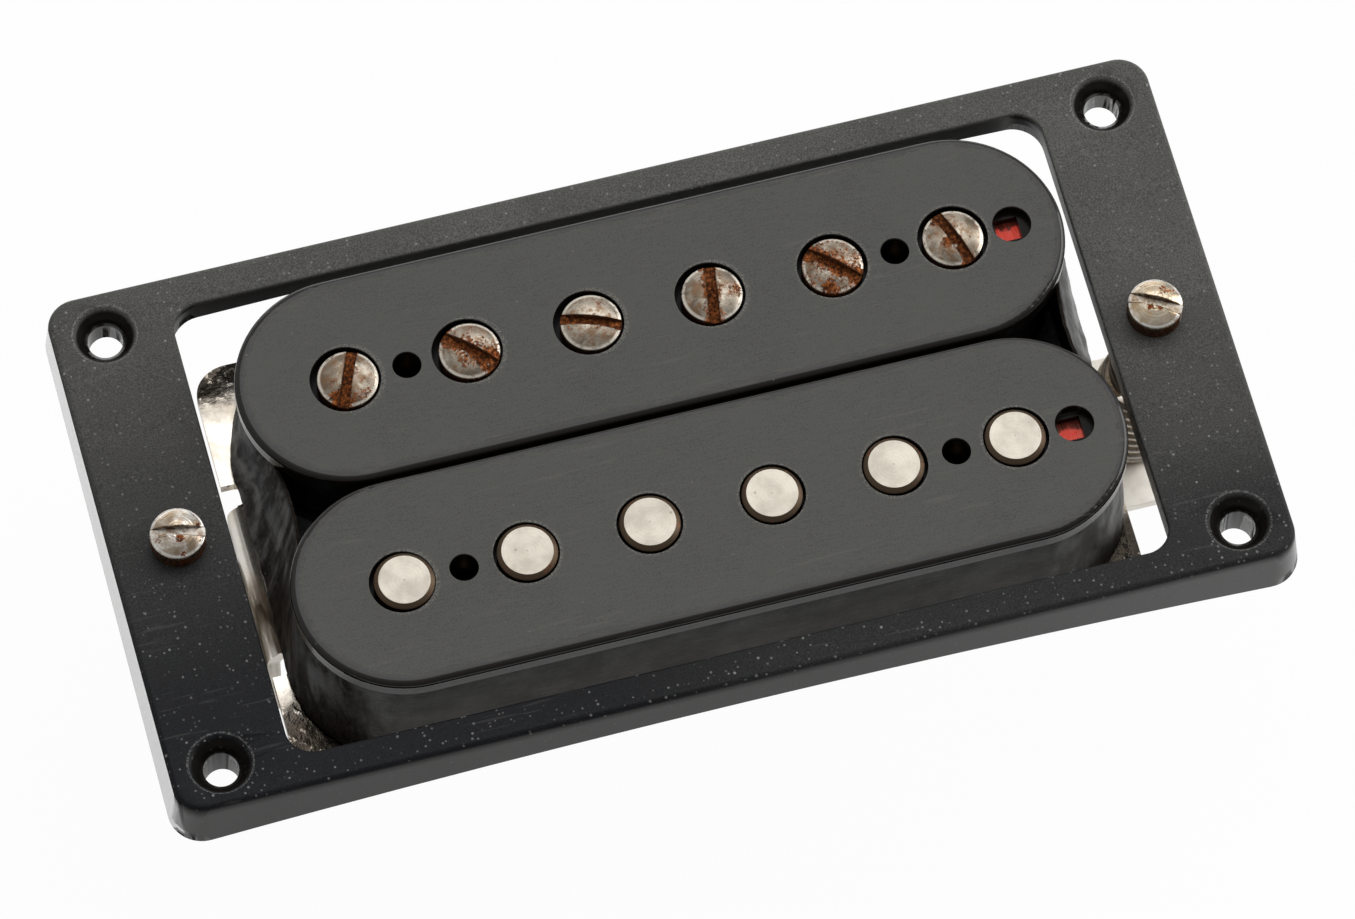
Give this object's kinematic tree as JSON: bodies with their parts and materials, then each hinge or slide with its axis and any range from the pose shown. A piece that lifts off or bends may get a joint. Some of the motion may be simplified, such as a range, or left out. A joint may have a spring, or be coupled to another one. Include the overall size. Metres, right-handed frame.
{
  "type": "guitar pickup",
  "caption": "Uncovered humbucking electric guitar pickup with adjustable pole screws beside plain slugs, hung by screws and springs in a tapered mounting ring.",
  "frame": {"origin": "middle of the mounting ring, level with the seats of the two springs in its arched underside", "axes": "+X along the row of poles and the ring's long side, +Y from the slug coil to the screw coil, +Z from the guitar's top towards the strings"},
  "size_m": [0.0908, 0.0463, 0.0319],
  "materials": {
    "ring_plastic": "satin, dusty",
    "bobbin_plastic": "satin",
    "nickel_silver": "tarnished, dimpled",
    "bar_steel": "plain cold-drawn",
    "magnet_alloy": "ground flats, rough edges",
    "spacer_wood": "bare maple",
    "brass": "dull",
    "coil_wire": "red enamel",
    "coil_tape": "waxed, wrinkled",
    "pole_screw_steel": "worn nickel with rust",
    "slug_steel": "dull nickel",
    "height_screw_nickel": "worn nickel, light rust",
    "spring_steel": "plain wire"
  },
  "bodies": {
    "ring": {"mounting_ring": "ring_plastic", "height_spring_left": "spring_steel", "height_spring_right": "spring_steel"},
    "pickup": {"baseplate": "nickel_silver", "keeper_bar": "bar_steel", "bar_magnet": "magnet_alloy", "wooden_spacer": "spacer_wood", "bobbin_screws": "brass", "screw_bobbin": "bobbin_plastic", "slug_bobbin": "bobbin_plastic", "screw_coil_winding": "coil_wire", "slug_coil_winding": "coil_wire", "screw_coil_tape": "coil_tape", "slug_coil_tape": "coil_tape", "outer_tape_wrap": "coil_tape", "slug_1": "slug_steel", "slug_2": "slug_steel", "slug_3": "slug_steel", "slug_4": "slug_steel", "slug_5": "slug_steel", "slug_6": "slug_steel"},
    "height_screw_left": {"height_screw_left": "height_screw_nickel"},
    "height_screw_right": {"height_screw_right": "height_screw_nickel"},
    "pole_screw_1": {"pole_screw_1": "pole_screw_steel"},
    "pole_screw_2": {"pole_screw_2": "pole_screw_steel"},
    "pole_screw_3": {"pole_screw_3": "pole_screw_steel"},
    "pole_screw_4": {"pole_screw_4": "pole_screw_steel"},
    "pole_screw_5": {"pole_screw_5": "pole_screw_steel"},
    "pole_screw_6": {"pole_screw_6": "pole_screw_steel"}
  },
  "joints": [
    {"name": "pickup_height", "type": "slide", "parent": "ring", "child": "pickup", "axis": [0, 0, 1], "range_m": [-0.004, 0.003], "deforming": ["height_spring_left", "height_spring_right"]},
    {"name": "height_screw_left_turn", "type": "hinge", "parent": "ring", "child": "height_screw_left", "pos_m": [-0.03945, 0, 0], "axis": [0, 0, 1], "range_deg": [-2060, 2740]},
    {"name": "height_screw_right_turn", "type": "hinge", "parent": "ring", "child": "height_screw_right", "pos_m": [0.03945, 0, 0], "axis": [0, 0, 1], "range_deg": [-2060, 2740]},
    {"name": "pole_screw_1_height", "type": "slide", "parent": "pickup", "child": "pole_screw_1", "axis": [0, 0, 1], "range_m": [-0.0001, 0.0025]},
    {"name": "pole_screw_2_height", "type": "slide", "parent": "pickup", "child": "pole_screw_2", "axis": [0, 0, 1], "range_m": [-0.0001, 0.0025]},
    {"name": "pole_screw_3_height", "type": "slide", "parent": "pickup", "child": "pole_screw_3", "axis": [0, 0, 1], "range_m": [-0.0001, 0.0025]},
    {"name": "pole_screw_4_height", "type": "slide", "parent": "pickup", "child": "pole_screw_4", "axis": [0, 0, 1], "range_m": [-0.0001, 0.0025]},
    {"name": "pole_screw_5_height", "type": "slide", "parent": "pickup", "child": "pole_screw_5", "axis": [0, 0, 1], "range_m": [-0.0001, 0.0025]},
    {"name": "pole_screw_6_height", "type": "slide", "parent": "pickup", "child": "pole_screw_6", "axis": [0, 0, 1], "range_m": [-0.0001, 0.0025]}
  ],
  "couplings": [
    {"joint": "height_screw_left_turn", "follows": "pickup_height", "rad_per_m": -11874},
    {"joint": "height_screw_right_turn", "follows": "pickup_height", "rad_per_m": -11874}
  ]
}
